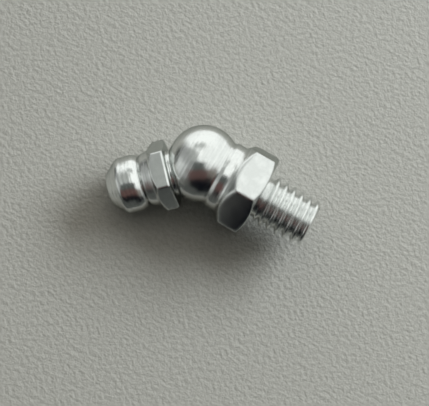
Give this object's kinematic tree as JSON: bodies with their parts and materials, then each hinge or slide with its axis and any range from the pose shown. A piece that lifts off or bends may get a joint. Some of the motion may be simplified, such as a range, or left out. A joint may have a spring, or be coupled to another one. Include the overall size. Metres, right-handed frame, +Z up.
{
  "type": "grease nipple",
  "caption": "Angled hydraulic grease nipple with a tapered thread, spanner flats, a ball elbow and a coupling head that holds a sprung check ball.",
  "frame": {"origin": "middle of the bounding box's bottom face, on the surface that the nipple lies on", "axes": "+Z up, +X along the thread's axis and out of the thread's end; the head points to -X and -Y and slightly down"},
  "size_m": [0.0228, 0.0138, 0.01],
  "materials": {
    "plated_body": "bright zinc plate",
    "plated_head": "bright zinc plate",
    "bearing_steel": "polished",
    "spring_wire": "drawn wire"
  },
  "bodies": {
    "nipple": {"elbow_body": "plated_body", "coupling_head": "plated_head", "check_spring": "spring_wire"},
    "ball": {"check_ball": "bearing_steel"}
  },
  "joints": [
    {"name": "check_ball_slide", "type": "slide", "parent": "nipple", "child": "ball", "axis": [0.7071, 0.6799, 0.1943], "range_m": [0, 0.001], "stiffness_N_per_m": 1030, "springref_m": -0.0004, "deforming": ["check_spring"]}
  ]
}
